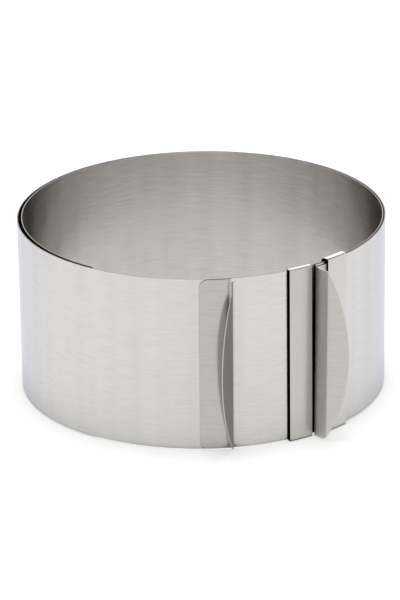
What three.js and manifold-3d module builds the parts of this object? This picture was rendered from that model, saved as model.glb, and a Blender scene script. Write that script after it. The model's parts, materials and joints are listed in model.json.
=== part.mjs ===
// Adjustable cake ring. One long spring-steel strip is coiled into a ring. Its outer end carries the right grip
// and two guide straps. Its inner turn slides through the straps, and the left grip is welded on before them.
// Millimetres and degrees, +Z up. The front of the ring faces -Y and its right side faces +X. Places along the
// strip are distances from its outer end, and offsets are measured outwards from the middle of its thickness.
import * as THREE from 'three';
import Module from 'manifold-3d';
import { mergeVertices } from 'three/addons/utils/BufferGeometryUtils.js';

const wasm = await Module();
wasm.setup();

// Strip and ring
const RING_DIAMETER = 176.3;
const STRIP_HEIGHT = 85;
const STRIP_THICKNESS = 0.5;
const STRIP_TURNS = 1.783;
const LAYER_CLEARANCE = 0.55;
const OUTER_END_ANGLE = 36.1;

// On the left side the inner turn springs in and the outer turn springs out, so a crescent opens between them.
const LOOSE_SIDE_ANGLE = 270;
const LOOSE_SIDE_SPREAD = 124;
const OUTER_TURN_BULGE = 0.4;
const INNER_TURN_BOW = 0.35;

// The strip bends at upright hinges between its links.
const LINK_COUNT = 30;
const HINGE_GAP = 0.3;
const FACET_LENGTH = 4.2;

// Guide straps and the plate inside the ring that carries them
const STRAP_WIDTH = 12.2;
const STRAP_SPACING = 21.4;
const STRAP_SHIFT = 1.8;
const STRAP_SHEET = 0.4;
const STRAP_CLEARANCE = 0.35;
const SLIDE_CLEARANCE = 1.35;
const EDGE_CLEARANCE = 0.3;
const LIP_HEIGHT = 18;
const BACK_PLATE_SHEET = 0.4;
const BACK_PLATE_LAP = 6;

// Grips
const GRIP_SHEET = 0.5;
const WELD_CLEARANCE = 0.15;
const GRIP_EDGE_INSET = 0.3;
const GRIP_GAP = 26.5;
const LEFT_PLATE_WIDTH = 15.3;
const LEFT_PLATE_CORNER = 4;
const LEFT_FIN_DEPTH = 11.2;
const LEFT_FIN_DROP = 5.9;
const LEFT_FIN_LEAN = -35;
const RIGHT_PLATE_WIDTH = 16;
const RISER_DEPTH = 8.2;
const RISER_CORNER = 2.5;
const RIGHT_FIN_DEPTH = 11.8;
const RIGHT_FIN_LEAN = 33;
const CURVE_STEPS = 24;

// Brushed steel of each kind of piece
const STRIP_STEEL = { color: 0xd6d6d3, roughness: 0.3, metalness: 1 };
const LEFT_GRIP_STEEL = { color: 0xbdbab5, roughness: 0.32, metalness: 1 };
const RIGHT_GRIP_STEEL = { color: 0xc4c2bd, roughness: 0.32, metalness: 1 };
const STRAP_STEEL = { color: 0xcdccc8, roughness: 0.3, metalness: 1 };
const BACK_PLATE_STEEL = { color: 0xc8c7c3, roughness: 0.35, metalness: 1 };

// Worked out from the sizes above
const TURN = 2 * Math.PI;
const turnPitch = STRIP_THICKNESS + LAYER_CLEARANCE;
const pitchPerRadian = turnPitch / TURN;
const outerEndRadius = (RING_DIAMETER + turnPitch - STRIP_THICKNESS) / 2;
const turnLength = lengthOfTurns(1);
const stripLength = lengthOfTurns(STRIP_TURNS);
const linkLength = stripLength / LINK_COUNT;
const plateInside = STRIP_THICKNESS / 2 + WELD_CLEARANCE;
const plateOutside = plateInside + GRIP_SHEET;
const strapInside = plateOutside + STRAP_CLEARANCE;
const strapOutside = strapInside + STRAP_SHEET;
const lipOutside = -turnPitch - STRIP_THICKNESS / 2 - SLIDE_CLEARANCE;
const lipInside = lipOutside - STRAP_SHEET;
const backPlateOutside = lipInside - WELD_CLEARANCE;
const strapTop = STRIP_HEIGHT + EDGE_CLEARANCE + STRAP_SHEET;
const strapBottom = -EDGE_CLEARANCE - STRAP_SHEET;
const strapMiddles = [STRAP_SHIFT - STRAP_SPACING / 2, STRAP_SHIFT + STRAP_SPACING / 2];
const straps = strapMiddles.map((middle) => [middle - STRAP_WIDTH / 2, middle + STRAP_WIDTH / 2]);
const leftFold = turnLength + straps[0][0] - GRIP_GAP;
const gripLow = GRIP_EDGE_INSET;
const gripHigh = STRIP_HEIGHT - GRIP_EDGE_INSET;

// Turns of the coil: its length, and the angle turned and the radius at a distance along the strip

function lengthOfTurns(turns) {
  const turned = turns * TURN;
  return outerEndRadius * turned - (pitchPerRadian * turned ** 2) / 2;
}

function turnedAt(along) {
  const root = Math.sqrt(outerEndRadius ** 2 - 2 * pitchPerRadian * along);
  return (outerEndRadius - root) / pitchPerRadian;
}

function angleAt(along) {
  return THREE.MathUtils.degToRad(OUTER_END_ANGLE) + turnedAt(along);
}

function hump(angle, middle, spread) {
  const share = (angle - middle) / spread;
  return Math.abs(share) < 0.5 ? (1 + Math.cos(TURN * share)) / 2 : 0;
}

function springOffset(angle) {
  const looseSide = THREE.MathUtils.degToRad(LOOSE_SIDE_ANGLE);
  const spread = THREE.MathUtils.degToRad(LOOSE_SIDE_SPREAD);
  const outer = hump(angle, looseSide, spread);
  const inner = hump(angle, looseSide + TURN, spread);
  return OUTER_TURN_BULGE * outer - INNER_TURN_BOW * inner;
}

function coilPoint(along, offset = 0) {
  const angle = angleAt(along);
  const radius = outerEndRadius - pitchPerRadian * turnedAt(along) + springOffset(angle) + offset;
  return new THREE.Vector2(radius * Math.sin(angle), -radius * Math.cos(angle));
}

// Each link has its own frame: its origin is on the strip at the link's start, and X runs along the strip.

function frameAt(along) {
  return { origin: coilPoint(along), heading: angleAt(along) };
}

function intoFrame(frame, point) {
  return point.clone().sub(frame.origin).rotateAround(new THREE.Vector2(), -frame.heading);
}

function outwards(frame, along, lean) {
  const angle = angleAt(along) + THREE.MathUtils.degToRad(lean) - frame.heading;
  return new THREE.Vector3(Math.sin(angle), -Math.cos(angle), 0);
}

// Solids: sheets that follow the coil, flat sheets that stand out from it, and joins and cuts of closed meshes

function bentSheet(frame, [from, to], [inner, outer], [low, high]) {
  const steps = Math.max(2, Math.ceil((to - from) / FACET_LENGTH));
  const places = Array.from({ length: steps + 1 }, (_, i) => from + ((to - from) * i) / steps);
  const outside = places.map((along) => intoFrame(frame, coilPoint(along, outer)));
  const inside = places.map((along) => intoFrame(frame, coilPoint(along, inner)));
  const shape = new THREE.Shape([...outside, ...inside.reverse()]);
  const geometry = new THREE.ExtrudeGeometry(shape, { depth: high - low, bevelEnabled: false });
  return geometry.translate(0, 0, low);
}

function standingSheet(shape, foot, direction, thickness) {
  const up = new THREE.Vector3(0, 0, 1);
  const across = new THREE.Vector3().crossVectors(direction, up);
  const options = { depth: thickness, bevelEnabled: false, curveSegments: CURVE_STEPS };
  const geometry = new THREE.ExtrudeGeometry(shape, options);
  geometry.translate(0, 0, -thickness / 2);
  geometry.applyMatrix4(new THREE.Matrix4().makeBasis(direction, up, across));
  return geometry.translate(foot.x, foot.y, 0);
}

function toSolid(geometry) {
  const bare = geometry.clone();
  bare.deleteAttribute('normal');
  bare.deleteAttribute('uv');
  const merged = mergeVertices(bare);
  const vertProperties = new Float32Array(merged.attributes.position.array);
  const triVerts = new Uint32Array(merged.index.array);
  return new wasm.Manifold(new wasm.Mesh({ numProp: 3, vertProperties, triVerts }));
}

function toGeometry(solid) {
  const mesh = solid.getMesh();
  const geometry = new THREE.BufferGeometry();
  geometry.setAttribute('position', new THREE.BufferAttribute(mesh.vertProperties, 3));
  geometry.setIndex(new THREE.BufferAttribute(mesh.triVerts, 1));
  geometry.computeVertexNormals();
  return geometry;
}

function join(geometries) {
  return geometries.map(toSolid).reduce((whole, next) => whole.add(next));
}

function steelMesh(name, geometry, finish) {
  const mesh = new THREE.Mesh(geometry, new THREE.MeshStandardMaterial(finish));
  mesh.name = name;
  return mesh;
}

// Outlines: a finger fin is a circle segment on an upright chord

function finOutline(depth, top) {
  const middle = (gripLow + top) / 2;
  const halfChord = (top - gripLow) / 2;
  const radius = (halfChord ** 2 + depth ** 2) / (2 * depth);
  const reach = Math.asin(halfChord / radius);
  return new THREE.Shape().absarc(depth - radius, middle, radius, -reach, reach);
}

function riserOutline() {
  const shape = new THREE.Shape();
  shape.moveTo(0, gripLow);
  shape.lineTo(RISER_DEPTH - RISER_CORNER, gripLow);
  shape.absarc(RISER_DEPTH - RISER_CORNER, gripLow + RISER_CORNER, RISER_CORNER, -Math.PI / 2, 0);
  shape.lineTo(RISER_DEPTH, gripHigh);
  shape.lineTo(0, gripHigh);
  return shape;
}

function leftPlateOutline() {
  const corner = LEFT_PLATE_CORNER;
  const pastFold = LEFT_PLATE_WIDTH * 2;
  const shape = new THREE.Shape();
  shape.moveTo(corner, gripLow);
  shape.lineTo(pastFold, gripLow);
  shape.lineTo(pastFold, gripHigh);
  shape.absarc(corner, gripHigh - corner, corner, Math.PI / 2, Math.PI);
  shape.absarc(corner, gripLow + corner, corner, Math.PI, Math.PI * 1.5);
  return shape;
}

// Pieces

function stripLink(index) {
  const start = index * linkLength;
  const from = index === 0 ? start : start + HINGE_GAP / 2;
  const to = index === LINK_COUNT - 1 ? stripLength : start + linkLength - HINGE_GAP / 2;
  const thickness = [-STRIP_THICKNESS / 2, STRIP_THICKNESS / 2];
  const name = `strip_${String(index + 1).padStart(2, '0')}`;
  const geometry = bentSheet(frameAt(start), [from, to], thickness, [0, STRIP_HEIGHT]);
  return steelMesh(name, geometry, STRIP_STEEL);
}

function leftGrip(frame) {
  const plateStart = leftFold - LEFT_PLATE_WIDTH;
  const plate = bentSheet(frame, [plateStart, leftFold], [plateInside, plateOutside], [gripLow, gripHigh]);
  const corner = intoFrame(frame, coilPoint(plateStart, plateInside));
  const along = new THREE.Vector3().subVectors(
    new THREE.Vector3(...intoFrame(frame, coilPoint(leftFold, plateInside)), 0),
    new THREE.Vector3(...corner, 0),
  );
  const window = standingSheet(leftPlateOutline(), corner, along.normalize(), LEFT_PLATE_WIDTH);
  const foot = intoFrame(frame, coilPoint(leftFold - GRIP_SHEET / 2, (plateInside + plateOutside) / 2));
  const direction = outwards(frame, leftFold, LEFT_FIN_LEAN);
  const fin = standingSheet(finOutline(LEFT_FIN_DEPTH, gripHigh - LEFT_FIN_DROP), foot, direction, GRIP_SHEET);
  const solid = toSolid(plate).intersect(toSolid(window)).add(toSolid(fin));
  return steelMesh('left_grip', toGeometry(solid), LEFT_GRIP_STEEL);
}

function rightGrip(frame) {
  const plate = bentSheet(frame, [0, RIGHT_PLATE_WIDTH], [plateInside, plateOutside], [gripLow, gripHigh]);
  const radial = outwards(frame, 0, 0);
  const riserFoot = intoFrame(frame, coilPoint(GRIP_SHEET / 2, plateInside));
  const riser = standingSheet(riserOutline(), riserFoot, radial, GRIP_SHEET);
  const finFoot = riserFoot.clone().addScaledVector(radial, RISER_DEPTH - GRIP_SHEET / 2);
  const finDirection = outwards(frame, 0, RIGHT_FIN_LEAN);
  const fin = standingSheet(finOutline(RIGHT_FIN_DEPTH, gripHigh), finFoot, finDirection, GRIP_SHEET);
  return steelMesh('right_grip', toGeometry(join([plate, riser, fin])), RIGHT_GRIP_STEEL);
}

function guideStrap(frame, name, span) {
  const front = bentSheet(frame, span, [strapInside, strapOutside], [strapBottom, strapTop]);
  const edges = [[strapBottom, strapBottom + STRAP_SHEET], [strapTop - STRAP_SHEET, strapTop]];
  const flanges = edges.map((heights) => bentSheet(frame, span, [lipInside, strapOutside], heights));
  const reach = [[strapBottom, strapBottom + LIP_HEIGHT], [strapTop - LIP_HEIGHT, strapTop]];
  const lips = reach.map((heights) => bentSheet(frame, span, [lipInside, lipOutside], heights));
  return steelMesh(name, toGeometry(join([front, ...flanges, ...lips])), STRAP_STEEL);
}

function guideBackPlate(frame) {
  const span = [straps[0][0], straps[1][1]];
  const low = strapBottom + LIP_HEIGHT - BACK_PLATE_LAP;
  const high = strapTop - LIP_HEIGHT + BACK_PLATE_LAP;
  const thickness = [backPlateOutside - BACK_PLATE_SHEET, backPlateOutside];
  return steelMesh('guide_back_plate', bentSheet(frame, span, thickness, [low, high]), BACK_PLATE_STEEL);
}

// Assembly: each link hangs on the one before it, as the strip bends, and carries what is welded to it.

const gripLinkIndex = Math.floor((leftFold - LEFT_PLATE_WIDTH / 2) / linkLength);
const cakeRing = new THREE.Group();
let holder = cakeRing;
let holderFrame = { origin: new THREE.Vector2(), heading: 0 };

for (let index = 0; index < LINK_COUNT; index += 1) {
  const frame = frameAt(index * linkLength);
  const link = new THREE.Group();
  link.position.set(...intoFrame(holderFrame, frame.origin), 0);
  link.rotation.z = frame.heading - holderFrame.heading;
  link.add(stripLink(index));
  if (index === 0) {
    link.add(rightGrip(frame), guideBackPlate(frame));
    link.add(guideStrap(frame, 'left_guide_strap', straps[0]));
    link.add(guideStrap(frame, 'right_guide_strap', straps[1]));
  }
  if (index === gripLinkIndex) {
    link.add(leftGrip(frame));
  }
  holder.add(link);
  holder = link;
  holderFrame = frame;
}

// The origin is under the middle of the whole ring, on the surface that it stands on.
cakeRing.updateMatrixWorld(true);
const box = new THREE.Box3().setFromObject(cakeRing, true);
const middle = box.getCenter(new THREE.Vector3());
cakeRing.position.set(-middle.x, -middle.y, -box.min.z);

export default cakeRing;
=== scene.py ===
# %% [markdown]
# # Adjustable cake ring
# The object is one long strip of brushed spring steel, coiled a little less than twice round. Two folded
# grips and two folded guide straps sit at the front. Squeezing the grips together slides one layer of the
# strip over the other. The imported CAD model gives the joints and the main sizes. This file makes the
# surfaces that the eye sees: round bends, thin sheet edges, brushed grain. Everything is in metres, in the
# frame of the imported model.

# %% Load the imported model
import json
import math
from functools import partial

import bmesh
import bpy
from mathutils import Matrix, Vector


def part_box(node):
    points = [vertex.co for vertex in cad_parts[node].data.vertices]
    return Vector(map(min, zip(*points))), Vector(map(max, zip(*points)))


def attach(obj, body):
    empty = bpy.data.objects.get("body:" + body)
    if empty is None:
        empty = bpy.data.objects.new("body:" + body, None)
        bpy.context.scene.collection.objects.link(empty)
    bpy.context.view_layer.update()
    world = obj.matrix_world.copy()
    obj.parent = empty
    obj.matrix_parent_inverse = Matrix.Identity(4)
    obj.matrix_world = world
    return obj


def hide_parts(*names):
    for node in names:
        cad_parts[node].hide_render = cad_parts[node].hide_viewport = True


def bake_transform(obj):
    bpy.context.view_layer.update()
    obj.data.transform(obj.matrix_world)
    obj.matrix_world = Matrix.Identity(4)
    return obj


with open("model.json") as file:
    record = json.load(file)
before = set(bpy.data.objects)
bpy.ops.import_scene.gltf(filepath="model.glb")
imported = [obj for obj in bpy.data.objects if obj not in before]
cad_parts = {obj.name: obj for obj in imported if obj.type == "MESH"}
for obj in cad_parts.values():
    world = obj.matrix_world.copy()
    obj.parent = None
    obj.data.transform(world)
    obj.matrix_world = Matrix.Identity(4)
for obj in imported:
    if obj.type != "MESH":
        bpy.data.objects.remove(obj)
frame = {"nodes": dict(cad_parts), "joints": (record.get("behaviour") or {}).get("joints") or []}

MM = 0.001
scene = bpy.context.scene
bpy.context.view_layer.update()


def in_mm(values, digits=1):
    return [round(value / MM, digits) for value in values]


# %% [markdown]
# ## The rule of the coil
# A strip that lies on itself forms a spiral: with each turn the radius shrinks by one sheet and one
# clearance. On the left the two layers stand a little apart, so the outer turn bulges there and the inner
# turn bows in. The coil could be drawn point by point, but a rule serves the strip, the straps and the
# grips alike. Its sizes are those of the CAD model, apart from the bulge and the bow, which follow the
# photograph. The axis of the ring comes from a hinge, because each hinge lies on the coil.

# %% Sizes of the coil
RING_DIAMETER = 176.3 * MM
STRIP_TURNS = 1.783
STRIP_THICKNESS = 0.5 * MM
LAYER_CLEARANCE = 0.55 * MM
OUTER_END_ANGLE = math.radians(36.1)
BULGE_ANGLE = math.radians(292)
BULGE_SPREAD = math.radians(130)
OUTER_TURN_BULGE = 0.8 * MM
BOW_ANGLE = math.radians(645)
BOW_SPREAD = math.radians(124)
INNER_TURN_BOW = 0.4 * MM

TURN = 2 * math.pi
TURN_PITCH = STRIP_THICKNESS + LAYER_CLEARANCE
PITCH_PER_RADIAN = TURN_PITCH / TURN
OUTER_RADIUS = (RING_DIAMETER + TURN_PITCH - STRIP_THICKNESS) / 2


def coil_length(angle):
    """The length of strip that is wound up over an angle, from the outer end."""
    return OUTER_RADIUS * angle - PITCH_PER_RADIAN * angle ** 2 / 2


def hump(angle, middle, width):
    """A smooth rise from zero to one and back, over a width of angle."""
    share = (angle - middle) / width
    if abs(share) > 0.5:
        return 0.0
    return (1 + math.cos(TURN * share)) / 2


def coil_angle_and_radius(along):
    root = math.sqrt(OUTER_RADIUS ** 2 - 2 * PITCH_PER_RADIAN * along)
    turned = (OUTER_RADIUS - root) / PITCH_PER_RADIAN
    angle = OUTER_END_ANGLE + turned
    spring = OUTER_TURN_BULGE * hump(angle, BULGE_ANGLE, BULGE_SPREAD)
    spring -= INNER_TURN_BOW * hump(angle, BOW_ANGLE, BOW_SPREAD)
    return angle, OUTER_RADIUS - PITCH_PER_RADIAN * turned + spring


def outward(angle):
    return Vector((math.sin(angle), -math.cos(angle)))


STRIP_LENGTH = coil_length(TURN * STRIP_TURNS)
print("strip length and turn pitch in mm:", in_mm([STRIP_LENGTH, TURN_PITCH], 2))

# %% Place the coil in the frame
HEADING_STEP = 0.01 * MM
strip_nodes = sorted(name for name in frame["nodes"] if name.startswith("strip_"))
link_length = STRIP_LENGTH / len(strip_nodes)
strip_low, strip_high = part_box(strip_nodes[0])
strip_bottom = strip_low.z
strip_top = strip_high.z
strip_height = strip_top - strip_bottom

second_hinge = Vector(frame["joints"][0]["pos_m"])
hinge_angle, hinge_radius = coil_angle_and_radius(link_length)
ring_axis = second_hinge.xy - hinge_radius * outward(hinge_angle)


def coil_point(along, stand_off=0.0):
    """The plan point at a length along the strip, moved outward from the middle of the sheet."""
    angle, radius = coil_angle_and_radius(along)
    return ring_axis + (radius + stand_off) * outward(angle)


def coil_heading(along):
    """The plan direction in which the strip runs on."""
    return (coil_point(along + HEADING_STEP) - coil_point(along - HEADING_STEP)).normalized()


print(len(strip_nodes), "links, one is", in_mm([link_length, strip_height], 2), "mm long and high")
print("ring axis in mm:", in_mm(ring_axis, 3), "strip bottom:", in_mm([strip_bottom], 2))

# %% [markdown]
# ## Helpers for node trees
# Geometry Nodes and shaders are both node trees, so a few helpers serve both: one makes a tree with named
# sockets, one feeds a socket with a link or a value, one adds a node with its settings and inputs, and one
# adds a line of arithmetic.

# %% Node tree helpers
FLOAT = "NodeSocketFloat"
COLOR = "NodeSocketColor"
VECTOR = "NodeSocketVector"
GEOMETRY = "NodeSocketGeometry"
MATERIAL = "NodeSocketMaterial"


def new_tree(kind, name, inputs, outputs):
    """A node tree with named sockets. An input is given as a number, its default, or as a socket type."""
    tree = bpy.data.node_groups.new(name, kind)
    for label, value in inputs.items():
        has_default = not isinstance(value, str)
        socket_type = FLOAT if has_default else value
        socket = tree.interface.new_socket(label, in_out="INPUT", socket_type=socket_type)
        if has_default:
            socket.default_value = value
    for label, socket_type in outputs.items():
        tree.interface.new_socket(label, in_out="OUTPUT", socket_type=socket_type)
    given = tree.nodes.new("NodeGroupInput")
    result = tree.nodes.new("NodeGroupOutput")
    return tree, given.outputs, result.inputs


def feed(tree, socket, value):
    if isinstance(value, bpy.types.NodeSocket):
        tree.links.new(value, socket)
    else:
        socket.default_value = value


def add_node(tree, kind, feeds=None, **settings):
    """Adds a node, sets it, feeds the inputs that are named or numbered, and gives its outputs."""
    node = tree.nodes.new(kind)
    for label, value in settings.items():
        setattr(node, label, value)
    for label, value in (feeds or {}).items():
        feed(tree, node.inputs[label], value)
    return node.outputs


def calculate(tree, operation, *values):
    return add_node(tree, "ShaderNodeMath", dict(enumerate(values)), operation=operation)[0]


# %% [markdown]
# ## Brushed steel
# The strip is ground along its length with a belt. That leaves fine scratches that all run the same way
# and lie in wider bands. Soft upright streaks across them are a painted reflection: bands of lighter and
# darker colour where a sheet that is not quite flat would mirror its surroundings. A picture of scratches
# would blur close up, so noise that is stretched along the piece's own UV map makes them at any distance.
# The effect is one node group, because strip, grips and straps all need it with their own strength. It
# gives a colour, a roughness and a height. The long highlight of such steel comes from the shader's
# anisotropy.

# %% The grain group
SCRATCH_LENGTH = 12 * MM
SCRATCH_WIDTH = 0.8 * MM
SCRATCH_DETAIL = 2.5
SCRATCH_SHARE = 0.9
BAND_LENGTHS = 3.0
BAND_WIDTHS = 9.0
BAND_DETAIL = 1.0
BAND_SHARE = 0.1
STREAK_WIDTH = 9 * MM
STREAK_LENGTH = 300 * MM
STREAK_DETAIL = 2.0
NOISE_MIDDLE = 0.5


def scale_color(tree, color, value):
    feeds = {"Vector": color, "Scale": value}
    return add_node(tree, "ShaderNodeVectorMath", feeds, operation="SCALE")["Vector"]


def make_grain_group():
    tree, given, result = new_tree(
        "ShaderNodeTree",
        "brushed_grain",
        {
            "Steel Color": COLOR,
            "Color Change": FLOAT,
            "Roughness": FLOAT,
            "Roughness Change": FLOAT,
            "Scratch Length": SCRATCH_LENGTH,
            "Scratch Width": SCRATCH_WIDTH,
            "Painted Streak Change": FLOAT,
            "Streak Width": STREAK_WIDTH,
            "Streak Length": STREAK_LENGTH,
        },
        {"Color": COLOR, "Roughness": FLOAT, "Height": FLOAT},
    )
    do = partial(calculate, tree)
    uv = add_node(tree, "ShaderNodeUVMap", uv_map="UVMap")["UV"]
    place = add_node(tree, "ShaderNodeSeparateXYZ", {0: uv})

    def stretched_noise(length, width, detail):
        along = do("DIVIDE", place["X"], length)
        across = do("DIVIDE", place["Y"], width)
        stretched = add_node(tree, "ShaderNodeCombineXYZ", {"X": along, "Y": across})[0]
        feeds = {"Vector": stretched, "Scale": 1.0, "Detail": detail}
        return add_node(tree, "ShaderNodeTexNoise", feeds, noise_dimensions="2D")["Fac"]

    scratches = stretched_noise(given["Scratch Length"], given["Scratch Width"], SCRATCH_DETAIL)
    band_length = do("MULTIPLY", given["Scratch Length"], BAND_LENGTHS)
    band_width = do("MULTIPLY", given["Scratch Width"], BAND_WIDTHS)
    bands = stretched_noise(band_length, band_width, BAND_DETAIL)
    scratch_part = do("MULTIPLY", scratches, SCRATCH_SHARE)
    band_part = do("MULTIPLY", bands, BAND_SHARE)
    swing = do("SUBTRACT", do("ADD", scratch_part, band_part), NOISE_MIDDLE)

    # Painted reflection: upright streaks of lighter and darker colour stand for a sheet that is not quite
    # flat mirroring its surroundings.
    streaks = stretched_noise(given["Streak Width"], given["Streak Length"], STREAK_DETAIL)
    streak_swing = do("SUBTRACT", streaks, NOISE_MIDDLE)
    painted_streak_factor = do("MULTIPLY_ADD", streak_swing, given["Painted Streak Change"], 1.0)
    value = do("MULTIPLY_ADD", swing, given["Color Change"], painted_streak_factor)
    rough = do("MULTIPLY_ADD", swing, given["Roughness Change"], given["Roughness"])
    feed(tree, result["Color"], scale_color(tree, given["Steel Color"], value))
    feed(tree, result["Roughness"], rough)
    feed(tree, result["Height"], scratches)
    return tree


grain_group = make_grain_group()
print("grain group has", len(grain_group.nodes), "nodes")

# %% [markdown]
# A second group darkens the colour with painted shade where neighbouring surfaces stand close, in the folds
# and in the gaps between the sheets: ambient occlusion measures how open each point is within a small reach.
# Dark places painted by hand would stay behind when the strip slides. With a long reach and little darkness,
# the same group paints the soft shade that the strip takes from the ground.

# %% The painted crevice shade group
CREVICE_SAMPLES = 8
CREVICE_DARKNESS = 0.95
CREVICE_SHALLOW = 0.25
CREVICE_DEEP = 0.52


def make_painted_shade_group():
    tree, given, result = new_tree(
        "ShaderNodeTree",
        "painted_crevice_shade",
        {
            "Color": COLOR,
            "Reach": FLOAT,
            "Darkness": CREVICE_DARKNESS,
            "Shallow": CREVICE_SHALLOW,
            "Deep": CREVICE_DEEP,
        },
        {"Color": COLOR},
    )
    # Painted shade: the colour is darkened where ambient occlusion finds surfaces close by.
    feeds = {"Distance": given["Reach"]}
    openness = add_node(tree, "ShaderNodeAmbientOcclusion", feeds, samples=CREVICE_SAMPLES)["AO"]
    hidden = calculate(tree, "SUBTRACT", 1.0, openness)
    feeds = {"Value": hidden, "From Min": given["Shallow"], "From Max": given["Deep"]}
    deep = add_node(tree, "ShaderNodeMapRange", feeds, interpolation_type="SMOOTHSTEP")["Result"]
    closed = calculate(tree, "MULTIPLY", deep, given["Darkness"])
    open_share = calculate(tree, "SUBTRACT", 1.0, closed)
    feed(tree, result["Color"], scale_color(tree, given["Color"], open_share))
    return tree


painted_shade_group = make_painted_shade_group()
print("crevice group has", len(painted_shade_group.nodes), "nodes")

# %% [markdown]
# ## The finishes
# Every piece is steel, but no two kinds of surface look alike, so one function makes a steel, and it is
# called for ten finishes, some with painted light or shade. The two groups bring what changes over the
# surface: the grain with its painted streaks, and the painted crevice shade. What is the same all over sits
# on the shader itself: its anisotropy draws each highlight out across the scratches.

# %% A brushed steel
HIGHLIGHT_ACROSS_GRAIN = 0.25
EDGE_TINT = (0.72, 0.71, 0.70, 1.0)
GROUND_REACH = 65 * MM
GROUND_DEEP = 0.6
SCRATCH_BUMP = 0.15
SCRATCH_DEPTH = 0.004 * MM


def place_group(tree, group, values):
    return add_node(tree, "ShaderNodeGroup", values, node_tree=group)


def make_steel(name, color, grain, anisotropy, crevice, edge_tint=EDGE_TINT, painted_ground_shade=0.0):
    """A brushed steel. The grain values and the painted crevice shade values go into the named inputs of the
    two groups.
    """
    material = bpy.data.materials.new(name)
    material.use_nodes = True
    tree = material.node_tree
    shader = tree.nodes["Principled BSDF"]
    shader.inputs["Metallic"].default_value = 1.0
    shader.inputs["Specular Tint"].default_value = edge_tint
    shader.inputs["Anisotropic"].default_value = anisotropy
    shader.inputs["Anisotropic Rotation"].default_value = HIGHLIGHT_ACROSS_GRAIN

    brushed = place_group(tree, grain_group, {"Steel Color": (*color, 1.0), **grain})
    shaded = place_group(tree, painted_shade_group, {"Color": brushed["Color"], **crevice})["Color"]
    # Painted shade towards the ground: a long reach darkens the lower part of the surface a little.
    if painted_ground_shade:
        ground = {"Reach": GROUND_REACH, "Darkness": painted_ground_shade, "Shallow": 0.0, "Deep": GROUND_DEEP}
        shaded = place_group(tree, painted_shade_group, {"Color": shaded, **ground})["Color"]
    feed(tree, shader.inputs["Base Color"], shaded)
    feed(tree, shader.inputs["Roughness"], brushed["Roughness"])

    relief = {"Strength": SCRATCH_BUMP, "Distance": SCRATCH_DEPTH, "Height": brushed["Height"]}
    feed(tree, shader.inputs["Normal"], add_node(tree, "ShaderNodeBump", relief)["Normal"])
    tangent = add_node(tree, "ShaderNodeTangent", direction_type="UV_MAP", uv_map="UVMap")
    feed(tree, shader.inputs["Tangent"], tangent["Tangent"])
    return material


# %% [markdown]
# The strip is bright outside. Its inside is painted darker, a painted shade for the inside of the ring, with
# stronger painted streaks. Where the outside is seen at a flat angle, its edge tint is made lighter and cool
# blue, a painted cool light, and a painted shade makes it a little darker towards the ground.

# %% The strip's finishes
STRIP_ANISOTROPY = 0.75
strip_steel = make_steel(
    "strip_brushed_steel",
    color=(0.63, 0.62, 0.60),
    grain={"Color Change": 0.21, "Roughness": 0.26, "Roughness Change": 0.06, "Painted Streak Change": 0.10},
    anisotropy=STRIP_ANISOTROPY,
    crevice={"Reach": 6.0 * MM, "Shallow": 0.38, "Deep": 0.60},
    # Painted cool light: the steel's edge tint is made lighter and blue where the outside is seen at a flat
    # angle.
    edge_tint=(0.81, 0.82, 0.90, 1.0),
    # Painted shade: the strip is a little darker towards the ground.
    painted_ground_shade=0.10,
)
# Painted shade: the inside of the ring gets a darker colour and stronger painted streaks.
inside_shade_steel = make_steel(
    "strip_inside_shade_steel",
    color=(0.545, 0.53, 0.51),
    grain={"Color Change": 0.30, "Roughness": 0.24, "Roughness Change": 0.04, "Painted Streak Change": 0.18},
    anisotropy=STRIP_ANISOTROPY,
    crevice={"Reach": 1.2 * MM},
)
print("strip finishes:", strip_steel.name, inside_shade_steel.name)

# %% [markdown]
# The grips are satin sheet, apart from the left plate: it is glossy enough to mirror its own fin as a dark
# crescent. The left fin shows the sheet's back, painted darker as a painted shade, and the plate beside it
# takes painted shade from a long reach. One strap is painted brighter than the other, a painted lit copy of
# the same steel.

# %% The finishes of grips and straps
SATIN_GRAIN = {"Color Change": 0.25, "Roughness": 0.55, "Roughness Change": 0.08}
SATIN_ANISOTROPY = 0.2
STRAP_GRAIN = {"Color Change": 0.16, "Roughness": 0.30, "Roughness Change": 0.06}
STRAP_ANISOTROPY = 0.5
STRAP_CREVICE = {"Reach": 2.5 * MM}


def satin_finish(name, color, crevice):
    return make_steel(name, color, SATIN_GRAIN, SATIN_ANISOTROPY, crevice)


def strap_finish(name, color):
    return make_steel(name, color, STRAP_GRAIN, STRAP_ANISOTROPY, STRAP_CREVICE)


# Painted shade in the grips' folds comes from the crevice values.
grip_steel = satin_finish("grip_satin_steel", (0.61, 0.59, 0.56), {"Reach": 1.6 * MM, "Darkness": 0.8})
left_plate_steel = make_steel(
    "left_plate_steel",
    color=(0.467, 0.453, 0.428),
    grain={"Color Change": 0.25, "Roughness": 0.19, "Roughness Change": 0.06},
    anisotropy=0.6,
    # Painted shade: a long reach darkens the plate beside its fin.
    crevice={"Reach": 5.0 * MM, "Darkness": 0.75},
)
# Painted shade: the sheet's back, which the left fin shows, gets a darker colour.
grip_back_shade_steel = satin_finish("grip_back_shade_steel", (0.345, 0.328, 0.312), {"Reach": 0.6 * MM})
strap_steel = strap_finish("strap_satin_steel", (0.53, 0.515, 0.49))
# Painted light: the right strap is a brighter copy of the same strap steel.
lit_strap_steel = strap_finish("strap_lit_steel", (0.60, 0.59, 0.575))
print("grip finishes:", grip_steel.name, left_plate_steel.name, grip_back_shade_steel.name)

# %% [markdown]
# A cut edge is rougher than the ground face and has only short scratches. The strip's edges are grey. The
# grips' edges are smoother and painted lighter, a painted highlight, and some rims of the straps are painted
# nearly black, a painted shade.

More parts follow.
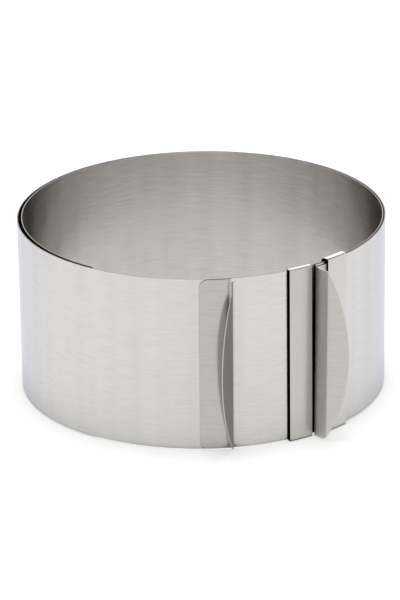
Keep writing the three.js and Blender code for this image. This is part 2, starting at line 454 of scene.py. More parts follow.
# %% The finishes of cut edges
CUT_GRAIN = {"Color Change": 0.10, "Roughness": 0.50, "Roughness Change": 0.15, "Scratch Length": 2 * MM}
CUT_ANISOTROPY = 0.0
CUT_CREVICE = {"Reach": 0.5 * MM}
SMOOTHER_CUT = {"Roughness": 0.40, "Roughness Change": 0.10}


def cut_finish(name, color, grain=CUT_GRAIN):
    return make_steel(name, color, grain, CUT_ANISOTROPY, CUT_CREVICE)


cut_edge_steel = cut_finish("cut_edge_steel", (0.36, 0.35, 0.34))
# Painted highlight: the grips' cut edges get a lighter colour.
grip_edge_highlight_steel = cut_finish("grip_edge_highlight_steel", (0.52, 0.51, 0.49), {**CUT_GRAIN, **SMOOTHER_CUT})
# Painted shade: nearly black rims for the gaps at the straps' front folds.
rim_shade_steel = cut_finish("rim_shade_steel", (0.06, 0.057, 0.054))
print("finishes:", [material.name for material in bpy.data.materials])

# %% [markdown]
# ## A path along the coil
# The strip and the straps all follow the coil, so the rule of the coil is written once as a small node
# group. It bends a straight line: each point knows its share of the line, the share gives a length along
# the strip, and the rule gives the place. A curve with fixed points would do for one piece, but this path
# starts and ends wherever a piece does. The length is kept on the points as an attribute, because the
# brushed grain is laid along it later.

# %% Helpers for paths
def line_of_points(tree, count):
    line = add_node(tree, "GeometryNodeCurvePrimitiveLine")["Curve"]
    feeds = {"Curve": line, "Count": count}
    return add_node(tree, "GeometryNodeResampleCurve", feeds, mode="COUNT")["Curve"]


def move_points(tree, geometry, position):
    feeds = {"Geometry": geometry, "Position": position}
    return add_node(tree, "GeometryNodeSetPosition", feeds)["Geometry"]


def store(tree, geometry, name, value, data_type="FLOAT", domain="POINT"):
    """Keeps a value on the geometry under a name."""
    feeds = {"Geometry": geometry, "Name": name, "Value": value}
    kind = "GeometryNodeStoreNamedAttribute"
    return add_node(tree, kind, feeds, data_type=data_type, domain=domain)["Geometry"]


def stored(tree, name):
    kind = "GeometryNodeInputNamedAttribute"
    return add_node(tree, kind, {"Name": name}, data_type="FLOAT")["Attribute"]


# %% The coil path group
def make_coil_path():
    tree, given, result = new_tree(
        "GeometryNodeTree",
        "coil_path",
        {
            "Start": FLOAT,
            "End": FLOAT,
            "Step": FLOAT,
            "Height": FLOAT,
            "Axis": VECTOR,
            "Outer Radius": OUTER_RADIUS,
            "Pitch per Radian": PITCH_PER_RADIAN,
            "Outer End Angle": OUTER_END_ANGLE,
            "Bulge Angle": BULGE_ANGLE,
            "Bulge Spread": BULGE_SPREAD,
            "Outer Turn Bulge": OUTER_TURN_BULGE,
            "Bow Angle": BOW_ANGLE,
            "Bow Spread": BOW_SPREAD,
            "Inner Turn Bow": INNER_TURN_BOW,
        },
        {"Curve": GEOMETRY},
    )

    do = partial(calculate, tree)

    def hump_at(angle, middle, width):
        share = do("DIVIDE", do("SUBTRACT", angle, middle), width)
        near = do("LESS_THAN", do("ABSOLUTE", share), 0.5)
        wave = do("MULTIPLY_ADD", do("COSINE", do("MULTIPLY", share, TURN)), 0.5, 0.5)
        return do("MULTIPLY", near, wave)

    span = do("SUBTRACT", given["End"], given["Start"])
    steps = do("CEIL", do("DIVIDE", span, given["Step"]))
    line = line_of_points(tree, do("ADD", steps, 1.0))
    share = add_node(tree, "GeometryNodeSplineParameter")["Factor"]
    along = do("MULTIPLY_ADD", share, span, given["Start"])
    measured = store(tree, line, "along", along)

    radius_squared = do("MULTIPLY", given["Outer Radius"], given["Outer Radius"])
    shrink = do("MULTIPLY", do("MULTIPLY", given["Pitch per Radian"], 2.0), along)
    root = do("SQRT", do("SUBTRACT", radius_squared, shrink))
    turned = do("DIVIDE", do("SUBTRACT", given["Outer Radius"], root), given["Pitch per Radian"])
    angle = do("ADD", given["Outer End Angle"], turned)
    bulge_share = hump_at(angle, given["Bulge Angle"], given["Bulge Spread"])
    bulge = do("MULTIPLY", given["Outer Turn Bulge"], bulge_share)
    bow_share = hump_at(angle, given["Bow Angle"], given["Bow Spread"])
    bow = do("MULTIPLY", given["Inner Turn Bow"], bow_share)
    radius = do("SUBTRACT", do("ADD", root, bulge), bow)

    axis = add_node(tree, "ShaderNodeSeparateXYZ", {0: given["Axis"]})
    right = do("MULTIPLY_ADD", radius, do("SINE", angle), axis["X"])
    back = do("SUBTRACT", axis["Y"], do("MULTIPLY", radius, do("COSINE", angle)))
    feeds = {"X": right, "Y": back, "Z": given["Height"]}
    bent = move_points(tree, measured, add_node(tree, "ShaderNodeCombineXYZ", feeds)[0])
    upright = add_node(tree, "GeometryNodeSetCurveNormal", {"Curve": bent}, mode="Z_UP")
    feed(tree, result["Curve"], upright["Curve"])
    return tree


coil_path = make_coil_path()
print("coil path group has", len(coil_path.nodes), "nodes")

# %% [markdown]
# ## The strip
# The real strip is one piece and bends evenly when the ring is set to another size. A rigid mesh can't. The
# strip is made in 29 stretches, one over each hinge, and a stretch reaches from the middle of one link to
# the middle of the next. A node tree makes each stretch: the coil path, a thin upright section with
# chamfered edges, and a UV map in metres. The side towards the axis and the cut edges get their own
# finishes.

# %% Start and end of every tree
AXIS_POINT = (*ring_axis, 0.0)


def path_along_coil(tree, given, height=0.0):
    feeds = {label: given[label] for label in ("Start", "End", "Step")}
    feeds.update({"Height": height, "Axis": AXIS_POINT})
    return add_node(tree, "GeometryNodeGroup", feeds, node_tree=coil_path)["Curve"]


def lay_uv(tree, mesh, across):
    """Stores a UV map in metres: the length along the strip, and the given length across it."""
    place = add_node(tree, "ShaderNodeCombineXYZ", {"X": stored(tree, "along"), "Y": across})[0]
    return store(tree, mesh, "UVMap", place, data_type="FLOAT2", domain="CORNER")


def finish_tree(tree, mesh, material, result, others=()):
    """Smooth shading, then the nodes that every tree ends in. Some faces can get other finishes on top."""
    smooth = add_node(tree, "GeometryNodeSetShadeSmooth", {"Geometry": mesh})["Geometry"]
    real = add_node(tree, "GeometryNodeRealizeInstances", {"Geometry": smooth})["Geometry"]
    feeds = {"Geometry": real, "Material": material}
    painted = add_node(tree, "GeometryNodeSetMaterial", feeds)["Geometry"]
    for chosen, other_material in others:
        feeds = {"Geometry": painted, "Selection": chosen, "Material": other_material}
        painted = add_node(tree, "GeometryNodeSetMaterial", feeds)["Geometry"]
    feed(tree, result["Geometry"], painted)


# %% The strip tree
STRIP_STEP = 0.8 * MM
EDGE_CHAMFER = 0.1 * MM
CHAMFER_SEGMENTS = 1
EDGE_FACING = 0.5


def make_strip_tree():
    tree, given, result = new_tree(
        "GeometryNodeTree",
        "coiled_strip",
        {
            "Start": FLOAT,
            "End": FLOAT,
            "Step": STRIP_STEP,
            "Bottom": strip_bottom,
            "Strip Height": strip_height,
            "Thickness": STRIP_THICKNESS,
            "Chamfer": EDGE_CHAMFER,
            "Material": MATERIAL,
            "Inside Material": MATERIAL,
            "Edge Material": MATERIAL,
        },
        {"Geometry": GEOMETRY},
    )
    middle = calculate(tree, "MULTIPLY_ADD", given["Strip Height"], 0.5, given["Bottom"])
    path = path_along_coil(tree, given, middle)
    feeds = {"Width": given["Thickness"], "Height": given["Strip Height"]}
    section = add_node(tree, "GeometryNodeCurvePrimitiveQuadrilateral", feeds, mode="RECTANGLE")["Curve"]
    feeds = {"Curve": section, "Count": CHAMFER_SEGMENTS, "Radius": given["Chamfer"]}
    chamfered = add_node(tree, "GeometryNodeFilletCurve", feeds, mode="POLY")["Curve"]
    feeds = {"Curve": path, "Profile Curve": chamfered, "Fill Caps": True}
    swept = add_node(tree, "GeometryNodeCurveToMesh", feeds)["Mesh"]
    position = add_node(tree, "GeometryNodeInputPosition")["Position"]
    mapped = lay_uv(tree, swept, add_node(tree, "ShaderNodeSeparateXYZ", {0: position})["Z"])

    normal = add_node(tree, "GeometryNodeInputNormal")["Normal"]
    feeds = {0: position, 1: AXIS_POINT}
    from_axis = add_node(tree, "ShaderNodeVectorMath", feeds, operation="SUBTRACT")["Vector"]
    feeds = {0: normal, 1: from_axis}
    facing_out = add_node(tree, "ShaderNodeVectorMath", feeds, operation="DOT_PRODUCT")["Value"]
    inside = calculate(tree, "LESS_THAN", facing_out, 0.0)
    facing_up = add_node(tree, "ShaderNodeSeparateXYZ", {0: normal})["Z"]
    edge = calculate(tree, "GREATER_THAN", calculate(tree, "ABSOLUTE", facing_up), EDGE_FACING)
    others = [(inside, given["Inside Material"]), (edge, given["Edge Material"])]
    finish_tree(tree, mapped, given["Material"], result, others)
    return tree


strip_tree = make_strip_tree()
print("strip tree has", len(strip_tree.nodes), "nodes")


# %% Turn a tree into a plain mesh
CREASE_ANGLE = math.radians(30)


def keep_mesh(maker, name, finishing):
    """Adds the finishing modifiers to the maker and keeps the result as a piece with a plain mesh."""
    for kind, settings in finishing:
        finisher = maker.modifiers.new(kind.title(), kind)
        for label, value in settings.items():
            setattr(finisher, label, value)
    scene.collection.objects.link(maker)
    depsgraph = bpy.context.evaluated_depsgraph_get()
    mesh = bpy.data.meshes.new_from_object(maker.evaluated_get(depsgraph), depsgraph=depsgraph)
    bpy.data.objects.remove(maker)
    mesh.name = name
    mesh.set_sharp_from_angle(angle=CREASE_ANGLE)
    piece = bpy.data.objects.new(name, mesh)
    scene.collection.objects.link(piece)
    return piece


def run_tree(name, tree, values, finishing=()):
    """Runs a node tree with the given input values and keeps the result."""
    maker = bpy.data.objects.new(name + "_maker", bpy.data.meshes.new(name + "_maker"))
    modifier = maker.modifiers.new(tree.name, "NODES")
    modifier.node_group = tree
    for socket in tree.interface.items_tree:
        if socket.in_out == "INPUT" and socket.name in values:
            modifier[socket.identifier] = values[socket.name]
    return keep_mesh(maker, name, finishing)


# %% [markdown]
# The first stretch starts just inside the strip's outer end, and the last runs on past the free end. Each
# stretch hides the links of the imported model that it covers.

# %% Lay the strip over its hinges
BEND_REACH = 2.88 * link_length
FIRST_BEND_REACH = 1.227 * link_length
FREE_END_RUN = 9.5 * MM
OUTER_END_INSET = 0.5 * MM


def on_strip(along):
    return coil_point(along).to_3d() + Vector((0, 0, strip_bottom + strip_height / 2))


def strip_stretch(number):
    """The stretch over the hinge between link number and the next one. Links count from one."""
    last = len(strip_nodes) - 1
    hinge = number * link_length
    start = OUTER_END_INSET if number == 1 else hinge - link_length / 2
    end = STRIP_LENGTH + FREE_END_RUN if number == last else hinge + link_length / 2
    piece = run_tree(
        "strip_stretch_{:02d}".format(number),
        strip_tree,
        {
            "Start": start,
            "End": end,
            "Material": strip_steel,
            "Inside Material": inside_shade_steel,
            "Edge Material": cut_edge_steel,
        },
    )
    nodes = strip_nodes[number - 1:number] if number < last else strip_nodes[number - 1:]
    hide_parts(*nodes)
    heading = coil_heading(hinge).to_3d()
    before = BEND_REACH / 2
    after = BEND_REACH / 2
    if number == 1:
        before = link_length
        after = FIRST_BEND_REACH
    on_strip(hinge) - heading * before
    on_strip(hinge) + heading * after
    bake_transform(piece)
    return piece


stretches = [strip_stretch(number) for number in range(1, len(strip_nodes))]
print("strip:", len(stretches), "stretches,", sum(len(piece.data.polygons) for piece in stretches), "faces")

# %% [markdown]
# ## The guide straps
# Each strap is one folded sheet: a lip inside the ring, a flange under the strip, the front plate, a flange
# over the strip and another lip. A box with sharp folds would look machined, so the section is a line with
# round corners that is swept along the coil, and Solidify gives the sheet its thickness afterwards. The
# section is a line of six points: their number picks the stand-off and the height of each corner, and
# Fillet Curve rounds the folds.

# %% The strap tree
STRAP_FOLD = 0.8 * MM
FOLD_SEGMENTS = 6
SECTION_CORNERS = 6


def pick_by_number(tree, values):
    """A value for each of the section's corners, picked by the corner's number."""
    switch = tree.nodes.new("GeometryNodeIndexSwitch")
    switch.data_type = "FLOAT"
    while len(switch.index_switch_items) < len(values):
        switch.index_switch_items.new()
    feed(tree, switch.inputs["Index"], add_node(tree, "GeometryNodeInputIndex")["Index"])
    for number, value in enumerate(values):
        feed(tree, switch.inputs[number + 1], value)
    return switch.outputs[0]


def make_strap_tree():
    tree, given, result = new_tree(
        "GeometryNodeTree",
        "guide_strap",
        {
            "Start": FLOAT,
            "End": FLOAT,
            "Step": STRIP_STEP,
            "Front": FLOAT,
            "Back": FLOAT,
            "Bottom": FLOAT,
            "Top": FLOAT,
            "Front Rise": FLOAT,
            "Lip Height": FLOAT,
            "Front Fold": STRAP_FOLD,
            "Back Fold": STRAP_FOLD,
            "Top Back Fold": STRAP_FOLD,
            "Material": MATERIAL,
        },
        {"Geometry": GEOMETRY},
    )
    front, back = given["Front"], given["Back"]
    low, high = given["Bottom"], given["Top"]
    low_lip = calculate(tree, "ADD", low, given["Lip Height"])
    high_lip = calculate(tree, "SUBTRACT", high, given["Lip Height"])
    high_front = calculate(tree, "ADD", high, given["Front Rise"])
    stand_off = pick_by_number(tree, [back, back, front, front, back, back])
    height = pick_by_number(tree, [low_lip, low, low, high_front, high, high_lip])
    feeds = {"X": stand_off, "Y": calculate(tree, "MULTIPLY", height, -1.0)}
    corner = add_node(tree, "ShaderNodeCombineXYZ", feeds)[0]
    corners = move_points(tree, line_of_points(tree, SECTION_CORNERS), corner)

    front_fold, low_fold, high_fold = given["Front Fold"], given["Back Fold"], given["Top Back Fold"]
    radius = pick_by_number(tree, [0.0, low_fold, front_fold, front_fold, high_fold, 0.0])
    feeds = {"Curve": corners, "Count": FOLD_SEGMENTS, "Radius": radius}
    folded = add_node(tree, "GeometryNodeFilletCurve", feeds, mode="POLY")["Curve"]
    travel = add_node(tree, "GeometryNodeSplineParameter")["Length"]
    measured = store(tree, folded, "across", travel)
    feeds = {"Curve": path_along_coil(tree, given), "Profile Curve": measured}
    swept = add_node(tree, "GeometryNodeCurveToMesh", feeds)["Mesh"]
    mapped = lay_uv(tree, swept, stored(tree, "across"))
    finish_tree(tree, mapped, given["Material"], result)
    return tree


strap_tree = make_strap_tree()
print("strap tree has", len(strap_tree.nodes), "nodes")

# %% [markdown]
# Solidify works from the sheet's middle, so each size of the section is moved by half a sheet. Its rim gets
# the second of the piece's materials and its back the third, where there are as many, and Bevel breaks the
# sharp edges. Grips and back plate are sheets too, so this finish is a function.

# %% A sheet with broken edges
SHEET_EDGE = 0.08 * MM
SHEET_EDGE_ANGLE = math.radians(60)
RIM_SLOT = 1
BACK_SLOT = 2


def sheet_finish(thickness):
    """The modifiers that turn a folded surface into a sheet with broken edges."""
    wall = {
        "thickness": thickness,
        "offset": 0.0,
        "use_even_offset": True,
        "material_offset": BACK_SLOT,
        "material_offset_rim": RIM_SLOT,
    }
    edge = {
        "width": SHEET_EDGE,
        "segments": 1,
        "limit_method": "ANGLE",
        "angle_limit": SHEET_EDGE_ANGLE,
    }
    return [("SOLIDIFY", wall), ("BEVEL", edge)]


# %% [markdown]
# The left strap lies close over the sliding layer. The right one stands further off, because the right
# grip's plate is under it, and its top is raised and rounder. The same tree makes both from their own sizes.
# Both ride on the strip's outer end. Towards the front their cut rims are painted nearly black, a painted
# shade for the gaps beside them, so the faces that look along the strip there get that painted shade.

# %% Make the two straps
STRAP_SHEET = 0.4 * MM
STRAP_WIDTH = 12.2 * MM
STRAP_SPACING = 21.4 * MM
STRAP_SHIFT = 1.8 * MM
LEFT_STRAP_START = STRAP_SHIFT - (STRAP_SPACING + STRAP_WIDTH) / 2
RIGHT_STRAP_START = LEFT_STRAP_START + STRAP_SPACING
LEFT_SHIFT = 0.6 * MM
LIP_HEIGHT = 18 * MM
EDGE_CLEARANCE = 0.3 * MM
RIM_FACING = 0.6
RIM_SHADE_DEPTH = 1.1 * MM


def paint_rim_shade(piece):
    """The front faces that look along the strip get a nearly black finish, a painted shade."""
    piece.data.materials.append(rim_shade_steel)
    for face in piece.data.polygons:
        from_axis = face.center.xy - ring_axis
        along_strip = abs(from_axis.normalized().cross(face.normal.xy)) > RIM_FACING
        if along_strip and from_axis.length > OUTER_RADIUS - RIM_SHADE_DEPTH:
            face.material_index = len(piece.data.materials) - 1


def guide_strap(name, node, start, front_face, lip_face, top_clearance, material, folds):
    half = STRAP_SHEET / 2
    sizes = {
        "Start": start,
        "End": start + STRAP_WIDTH,
        "Front": front_face + half,
        "Back": -(lip_face + half),
        "Bottom": strip_bottom - EDGE_CLEARANCE - half,
        "Top": strip_top + top_clearance + half,
        "Lip Height": LIP_HEIGHT,
        "Material": material,
    }
    piece = run_tree(name, strap_tree, {**sizes, **folds}, sheet_finish(STRAP_SHEET))
    paint_rim_shade(piece)
    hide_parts(node)
    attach(piece, "outer_end")
    print(name, len(piece.data.polygons), "faces")


guide_strap(
    "left_strap_sheet",
    "left_guide_strap",
    start=LEFT_STRAP_START + LEFT_SHIFT,
    front_face=0.45 * MM,
    lip_face=1.9 * MM,
    top_clearance=0.15 * MM,
    material=strap_steel,
    folds={"Front Fold": 0.3 * MM},
)
guide_strap(
    "right_strap_sheet",
    "right_guide_strap",
    start=RIGHT_STRAP_START,
    front_face=1.5 * MM,
    lip_face=2.65 * MM,
    top_clearance=0.8 * MM,
    material=lit_strap_steel,
    folds={"Front Rise": 0.45 * MM, "Top Back Fold": 1.5 * MM},
)

# %% [markdown]
# ## The folded grips
# Each grip is one sheet: a plate on the strip, a fold, and a finger fin whose outline is a slice of a
# circle. A plate and a fin could be joined by a boolean, but that leaves a hard seam where the metal is
# bent. So the sheet is described as it lies flat before folding. A plan path says where each length across
# the flat sheet ends up after folding, and a function says how far the sheet reaches at each height. A grid
# over that flat sheet is carried onto the path, so plate, fold and fin are one smooth surface.

# %% A folded plan path
ONWARD = 1
BACKWARD = -1


class PlanPath:
    """A line in plan, walked from the strip's coil through bends and straight stretches."""

    def __init__(self, alongs, stand_off, direction):
        self.points = [coil_point(along, stand_off) for along in alongs]
        self.heading = coil_heading(alongs[-1]) * direction
        self.travels = [0.0]
        for before, after in zip(self.points, self.points[1:]):
            self.travels.append(self.travels[-1] + (after - before).length)

    def step(self, length):
        self.points.append(self.points[-1] + self.heading * length)
        self.travels.append(self.travels[-1] + length)

    def turn(self, angle):
        self.heading = Matrix.Rotation(angle, 2) @ self.heading

    def bend(self, angle, radius, segments):
        part = angle / segments
        chord = 2 * radius * math.sin(abs(part) / 2)
        self.turn(part / 2)
        for number in range(segments):
            self.step(chord)
            self.turn(part if number < segments - 1 else part / 2)
        return self.travels[-1]

    def straight(self, length):
        self.step(length)
        return self.travels[-1]

    def travels_between(self, low, high):
        return [travel for travel in self.travels if low < travel <= high]

    def point_at(self, travel):
        pairs = zip(self.travels, self.travels[1:], self.points, self.points[1:])
        for low, high, before, after in pairs:
            if travel <= high:
                return before.lerp(after, (travel - low) / (high - low))
        return self.points[-1]


# %% A sheet on a path
MERGE_DISTANCE = 0.001 * MM


def folded_sheet(name, path, heights, travels_at, thickness, front, back):
    """A sheet whose flat outline is given by the travels at each height, folded along a plan path."""
    form = bmesh.new()
    uv_layer = form.loops.layers.uv.new("UVMap")
    flat = {}
    grid = []
    for height in heights:
        row = []
        for travel in travels_at(height):
            corner = form.verts.new((*path.point_at(travel), height))
            flat[corner] = (travel, height)
            row.append(corner)
        grid.append(row)
    for low_row, high_row in zip(grid, grid[1:]):
        for number in range(len(low_row) - 1):
            corners = (low_row[number], low_row[number + 1], high_row[number + 1], high_row[number])
            face = form.faces.new(corners)
            face.smooth = True
            for loop in face.loops:
                loop[uv_layer].uv = flat[loop.vert]
    bmesh.ops.remove_doubles(form, verts=form.verts, dist=MERGE_DISTANCE)
    bmesh.ops.dissolve_degenerate(form, edges=form.edges, dist=MERGE_DISTANCE)
    mesh = bpy.data.meshes.new(name + "_flat")
    form.to_mesh(mesh)
    form.free()
    for material in (front, grip_edge_highlight_steel, back):
        mesh.materials.append(material)
    maker = bpy.data.objects.new(name + "_maker", mesh)
    return keep_mesh(maker, name, sheet_finish(thickness))


# %% Helpers for outlines
def spread(start, end, count):
    return [start + (end - start) * number / count for number in range(count + 1)]


def rows_between(low, high, count):
    """Heights that crowd towards both ends, where round corners need them."""
    middle = (low + high) / 2
    half = (high - low) / 2
    return [middle - half * math.cos(math.pi * number / count) for number in range(count + 1)]


def slice_depth(height, low, high, depth):
    """How far a slice of a circle stands out from its chord at a height."""
    half = (high - low) / 2
    radius = (half ** 2 + depth ** 2) / (2 * depth)
    away = height - (low + high) / 2
    return max(0.0, math.sqrt(max(0.0, radius ** 2 - away ** 2)) - (radius - depth))


def corner_inset(edge_distance, radius):
    """How far a round corner pulls the outline in, at a distance from the edge."""
    inside = min(max(radius - edge_distance, 0.0), radius)
    return radius - math.sqrt(radius ** 2 - inside ** 2)


# %% Sizes of both grips
GRIP_SHEET = 0.5 * MM
GRIP_STAND_OFF = 0.65 * MM
GRIP_EDGE_INSET = 0.3 * MM
GRIP_ROWS = 72
grip_low = strip_bottom + GRIP_EDGE_INSET
grip_high = strip_top - GRIP_EDGE_INSET


def lean_along_strip(piece, lean):
    """Slides the piece's lower edge back along the strip, as on a grip that is welded a little askew."""
    for corner in piece.data.vertices:
        share = (grip_high - corner.co.z) / strip_height
        turn = Matrix.Rotation(-lean * share / OUTER_RADIUS, 2)
        corner.co.xy = ring_axis + turn @ (corner.co.xy - ring_axis)


print("grips reach from", in_mm([grip_low, grip_high]), "mm")

# %% [markdown]
# ## The left grip
# Its plate is welded on the sliding layer, with two round corners on the left. The fold at its right turns
# the sheet back by more than a right angle, so the fin leans over its own plate and shows its back. Above
# the fin a narrow stub of the fold is left. The grip sits a little askew on the strip. Its place is counted
# from the left strap, one turn further along the coil. It rides with the link that it is welded to.

# %% Make the left grip
GRIP_GAP = 26.65 * MM
LEFT_FOLD_ALONG = coil_length(TURN) + LEFT_STRAP_START - GRIP_GAP
LEFT_PLATE_WIDTH = 14.9 * MM
LEFT_PLATE_CORNER = 4 * MM
LEFT_PLATE_STEPS = 24
LEFT_PLATE_COLUMNS = 16
LEFT_FOLD_RADIUS = 1.5 * MM
LEFT_FOLD_SEGMENTS = 10
LEFT_FOLD_STUB = 1.2 * MM
LEFT_FIN_DEPTH = 12.6 * MM
LEFT_FIN_DROP = 5.9 * MM
LEFT_FIN_TURN = math.radians(120)
LEFT_FIN_COLUMNS = 12
LEFT_GRIP_LEAN = 0.4 * MM


def make_left_grip():
    plate_start = LEFT_FOLD_ALONG - LEFT_PLATE_WIDTH
    plate_end = LEFT_FOLD_ALONG - LEFT_FOLD_RADIUS
    path = PlanPath(spread(plate_start, plate_end, LEFT_PLATE_STEPS), GRIP_STAND_OFF, ONWARD)
    plate = path.travels[-1]
    fold = path.bend(-LEFT_FIN_TURN, LEFT_FOLD_RADIUS, LEFT_FOLD_SEGMENTS)
    path.straight(LEFT_FIN_DEPTH)
    fold_travels = path.travels_between(plate, fold)
    fin_top = grip_high - LEFT_FIN_DROP

    def travels_at(height):
        corner = corner_inset(min(height - grip_low, grip_high - height), LEFT_PLATE_CORNER)
        depth = 0.0 if height > fin_top else slice_depth(height, grip_low, fin_top, LEFT_FIN_DEPTH)
        stub = LEFT_FOLD_STUB if height > (grip_low + fin_top) / 2 else 0.0
        reach = fold + max(stub, depth)
        beyond = fold_travels + spread(fold, reach, LEFT_FIN_COLUMNS)[1:]
        return spread(corner, plate, LEFT_PLATE_COLUMNS) + [min(travel, reach) for travel in beyond]

    heights = rows_between(grip_low, grip_high, GRIP_ROWS)
    front, back = left_plate_steel, grip_back_shade_steel
    return folded_sheet("left_grip_sheet", path, heights, travels_at, GRIP_SHEET, front, back)


left_grip = make_left_grip()
lean_along_strip(left_grip, LEFT_GRIP_LEAN)
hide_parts("left_grip")
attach(left_grip, "sliding_grip")
print(left_grip.name, len(left_grip.data.polygons), "faces")

# %% [markdown]
# ## The right grip
# Its plate sits on the strip's outer end, under the right strap. A fold a little past the square lifts the
# riser off the ring, and a second fold turns the fin to the right. The riser's lower corner is round. The
# same folded sheet makes it, on a path that walks back along the coil to the strip's end. This grip hangs
# a little lower than the left one and leans more. It rides on the outer end.

# %% Make the right grip
RIGHT_PLATE_WIDTH = 16 * MM
RIGHT_PLATE_STEPS = 20
RIGHT_PLATE_COLUMNS = 10
RISER_DEPTH = 8.2 * MM
RISER_CORNER = 2.5 * MM
RISER_TURN = math.radians(92)
RISER_FOOT_SHIFT = -0.3 * MM
RISER_FOLD_RADIUS = 0.4 * MM
RISER_FOLD_SEGMENTS = 8
RISER_COLUMNS = 8
RIGHT_FIN_DEPTH = 10.8 * MM
RIGHT_FIN_RISE = 0.5 * MM
RIGHT_FIN_TURN = math.radians(31)
RIGHT_FIN_FOLD_RADIUS = 1.2 * MM
RIGHT_FIN_FOLD_SEGMENTS = 6
RIGHT_FIN_COLUMNS = 10
RIGHT_GRIP_DROP = 0.6 * MM
RIGHT_GRIP_LEAN = 1.1 * MM


def make_right_grip():
    plate_end = RISER_FOLD_RADIUS - RISER_FOOT_SHIFT
    path = PlanPath(spread(RIGHT_PLATE_WIDTH, plate_end, RIGHT_PLATE_STEPS), GRIP_STAND_OFF, BACKWARD)
    plate = path.travels[-1]
    foot = path.bend(RISER_TURN, RISER_FOLD_RADIUS, RISER_FOLD_SEGMENTS)
    riser = path.straight(RISER_DEPTH - RISER_FOLD_RADIUS)
    fold = path.bend(RIGHT_FIN_TURN, RIGHT_FIN_FOLD_RADIUS, RIGHT_FIN_FOLD_SEGMENTS)
    path.straight(RIGHT_FIN_DEPTH)
    riser_travels = path.travels_between(plate, foot)
    riser_travels += spread(foot, riser, RISER_COLUMNS)[1:]
    riser_travels += path.travels_between(riser, fold)
    bottom = grip_low - RIGHT_GRIP_DROP
    top = grip_high - RIGHT_GRIP_DROP

    def travels_at(height):
        corner = corner_inset(height - bottom, RISER_CORNER)
        reach = riser - corner + slice_depth(height, bottom + RIGHT_FIN_RISE, top, RIGHT_FIN_DEPTH)
        beyond = riser_travels + spread(fold, max(fold, reach), RIGHT_FIN_COLUMNS)[1:]
        return spread(0.0, plate, RIGHT_PLATE_COLUMNS) + [min(travel, reach) for travel in beyond]

    heights = rows_between(bottom, top, GRIP_ROWS)
    return folded_sheet("right_grip_sheet", path, heights, travels_at, GRIP_SHEET, grip_steel, grip_steel)


right_grip = make_right_grip()
lean_along_strip(right_grip, RIGHT_GRIP_LEAN)
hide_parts("right_grip")
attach(right_grip, "outer_end")
print(right_grip.name, len(right_grip.data.polygons), "faces")

# %% [markdown]
# ## The guide back plate
# Inside the ring a plain curved sheet joins the two straps and holds them in line. It could be swept like
# the straps, but its four round corners are easier on a plan path with no folds.

# %% Make the back plate
BACK_PLATE_FACE = 3.2 * MM
BACK_PLATE_SHEET = 0.4 * MM
BACK_PLATE_CORNER = 3 * MM
BACK_PLATE_ROWS = 40
BACK_PLATE_COLUMNS = 40
back_low, back_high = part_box("guide_back_plate")


def make_back_plate():
    alongs = spread(LEFT_STRAP_START, RIGHT_STRAP_START + STRAP_WIDTH, BACK_PLATE_COLUMNS)
    path = PlanPath(alongs, -(BACK_PLATE_FACE + BACK_PLATE_SHEET / 2), ONWARD)
    width = path.travels[-1]
    heights = rows_between(back_low.z, back_high.z, BACK_PLATE_ROWS)

    def travels_at(height):
        corner = corner_inset(min(height - back_low.z, back_high.z - height), BACK_PLATE_CORNER)
        return spread(corner, width - corner, BACK_PLATE_COLUMNS)

    front, back = strap_steel, strap_steel
    return folded_sheet("back_plate_sheet", path, heights, travels_at, BACK_PLATE_SHEET, front, back)


back_plate = make_back_plate()
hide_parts("guide_back_plate")
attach(back_plate, "outer_end")
print(back_plate.name, len(back_plate.data.polygons), "faces")

# %% [markdown]
# ## Floor, world and ceiling
# The photograph has a white sweep, so the floor is white to the camera and pale to the light. Stronger lamps
# would whiten it too, but they would bleach the steel. Instead a little emission, for camera rays and
# reflections only, lifts it to white and leaves the shadow in it. The world is white for the same rays and
# dim for the rest. A dark ceiling that only reflections see keeps the inside of the ring from turning pale.

# %% Make the floor, the world and the ceiling
FLOOR_SIZE = 8.0
FLOOR_COLOR = (0.86, 0.86, 0.86, 1.0)
FLOOR_LIFT = 0.45
WORLD_COLOR = (1.0, 1.0, 1.0, 1.0)
WORLD_LIGHT = 0.3
CEILING_SIZE = 5.0
CEILING_HEIGHT = 2.5
CEILING_COLOR = (0.12, 0.12, 0.12, 1.0)


def shown_rays(tree):
    """One for the rays that show the background, to the camera or in a reflection, and zero for the rest."""
    rays = add_node(tree, "ShaderNodeLightPath")
    seen = calculate(tree, "ADD", rays["Is Camera Ray"], rays["Is Glossy Ray"])
    return calculate(tree, "MINIMUM", calculate(tree, "ADD", seen, rays["Is Transmission Ray"]), 1.0)


def stage_plane(name, size, height, material):
    bpy.ops.mesh.primitive_plane_add(size=size, location=(0, 0, height))
    plane = bpy.context.object
    plane.name = name
    plane.data.materials.append(material)
    return plane


def make_floor():
    material = bpy.data.materials.new("pale_floor")
    material.use_nodes = True
    tree = material.node_tree
    tree.nodes.clear()
    matte = add_node(tree, "ShaderNodeBsdfDiffuse", {"Color": FLOOR_COLOR})[0]
    strength = calculate(tree, "MULTIPLY", shown_rays(tree), FLOOR_LIFT)
    lift = add_node(tree, "ShaderNodeEmission", {"Strength": strength})[0]
    both = add_node(tree, "ShaderNodeAddShader", {0: matte, 1: lift})[0]
    add_node(tree, "ShaderNodeOutputMaterial", {"Surface": both})
    floor = stage_plane("floor", FLOOR_SIZE, 0.0, material)


def make_world():
    world = bpy.data.worlds.new("white_room")
    scene.world = world
    world.use_nodes = True
    tree = world.node_tree
    background = tree.nodes["Background"]
    background.inputs["Color"].default_value = WORLD_COLOR
    strength = calculate(tree, "MULTIPLY_ADD", shown_rays(tree), 1.0 - WORLD_LIGHT, WORLD_LIGHT)
    feed(tree, background.inputs["Strength"], strength)


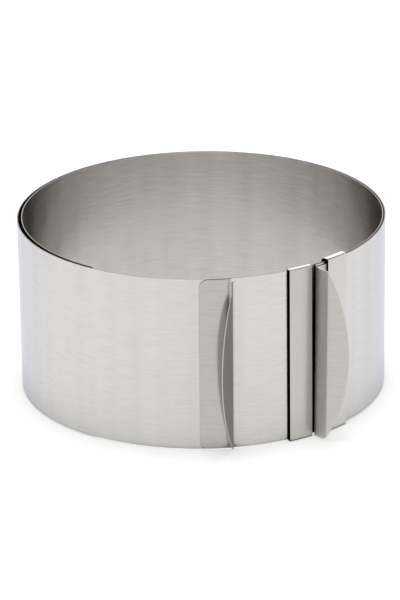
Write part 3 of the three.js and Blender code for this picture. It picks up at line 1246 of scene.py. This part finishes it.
def make_ceiling():
    material = bpy.data.materials.new("dark_ceiling")
    material.use_nodes = True
    shader = material.node_tree.nodes["Principled BSDF"]
    shader.inputs["Base Color"].default_value = CEILING_COLOR
    shader.inputs["Roughness"].default_value = 1.0
    ceiling = stage_plane("ceiling", CEILING_SIZE, CEILING_HEIGHT, material)
    ceiling.visible_camera = False
    ceiling.visible_diffuse = False
    ceiling.visible_shadow = False


make_floor()
make_world()
make_ceiling()
print("floor", FLOOR_SIZE, "m wide, ceiling", CEILING_SIZE, "m wide and", CEILING_HEIGHT, "m up")

# %% [markdown]
# ## Lamps
# Two large soft lamps stand in for the studio: one overhead and one behind the ring. Small lamps would draw
# hard bright spots on the steel. The front is lit by the pale floor and the world.

# %% Make the lamps
TOP_LAMP_PLACE = (0.0, 0.0, 2.2)
TOP_LAMP_SIZE = (0.9, 0.9)
TOP_LAMP_POWER = 22.5
BACK_LAMP_PLACE = (0.0, 2.1, 0.95)
BACK_LAMP_SIZE = (2.2, 0.8)
BACK_LAMP_POWER = 12.0
ring_middle = Vector((*ring_axis, on_strip(0.0).z))


def soft_lamp(name, place, size, power):
    lamp = bpy.data.lights.new(name, "AREA")
    lamp.shape = "RECTANGLE"
    lamp.size, lamp.size_y = size
    lamp.energy = power
    holder = bpy.data.objects.new(name, lamp)
    holder.location = place
    holder.rotation_euler = (ring_middle - Vector(place)).to_track_quat("-Z", "Y").to_euler()
    scene.collection.objects.link(holder)
    print(name, power, "W at", place)


soft_lamp("top_lamp", TOP_LAMP_PLACE, TOP_LAMP_SIZE, TOP_LAMP_POWER)
soft_lamp("back_lamp", BACK_LAMP_PLACE, BACK_LAMP_SIZE, BACK_LAMP_POWER)

# %% [markdown]
# ## Camera
# The photograph looks down on the ring from the front through a long lens. Angle, distance and focal length
# were found from the rim's ellipse and the height of the front wall.

# %% Make the camera
PHOTO_WIDTH = 400
PHOTO_HEIGHT = 600
FOCAL_PIXELS = 3404.64
LENS_CENTRE = (202.369, 294.158)
CAMERA_DISTANCE = 1.6533
CAMERA_ELEVATION = math.radians(21.8642)
CAMERA_ROLL = math.radians(-0.8)
SENSOR_HEIGHT = 36.0


def make_camera():
    lens = bpy.data.cameras.new("photo_camera")
    lens.sensor_fit = "VERTICAL"
    lens.sensor_height = SENSOR_HEIGHT
    lens.lens = FOCAL_PIXELS / PHOTO_HEIGHT * SENSOR_HEIGHT
    lens.shift_x = (PHOTO_WIDTH / 2 - LENS_CENTRE[0]) / PHOTO_HEIGHT
    lens.shift_y = (LENS_CENTRE[1] - PHOTO_HEIGHT / 2) / PHOTO_HEIGHT
    camera = bpy.data.objects.new("photo_camera", lens)
    scene.collection.objects.link(camera)
    forward = Vector((0, math.cos(CAMERA_ELEVATION), -math.sin(CAMERA_ELEVATION)))
    right = Vector((1, 0, 0))
    up = right.cross(forward)
    tilted_right = math.cos(CAMERA_ROLL) * right + math.sin(CAMERA_ROLL) * up
    tilted_up = tilted_right.cross(forward)
    turn = Matrix((tilted_right, tilted_up, -forward)).transposed()
    camera.matrix_world = Matrix.Translation(ring_middle - CAMERA_DISTANCE * forward) @ turn.to_4x4()
    scene.camera = camera
    return camera


camera = make_camera()
print("camera at", [round(value, 3) for value in camera.matrix_world.translation])

# %% [markdown]
# ## Finish
# The picture uses the plain view transform.

# %% Finish
scene.view_settings.view_transform = "Standard"
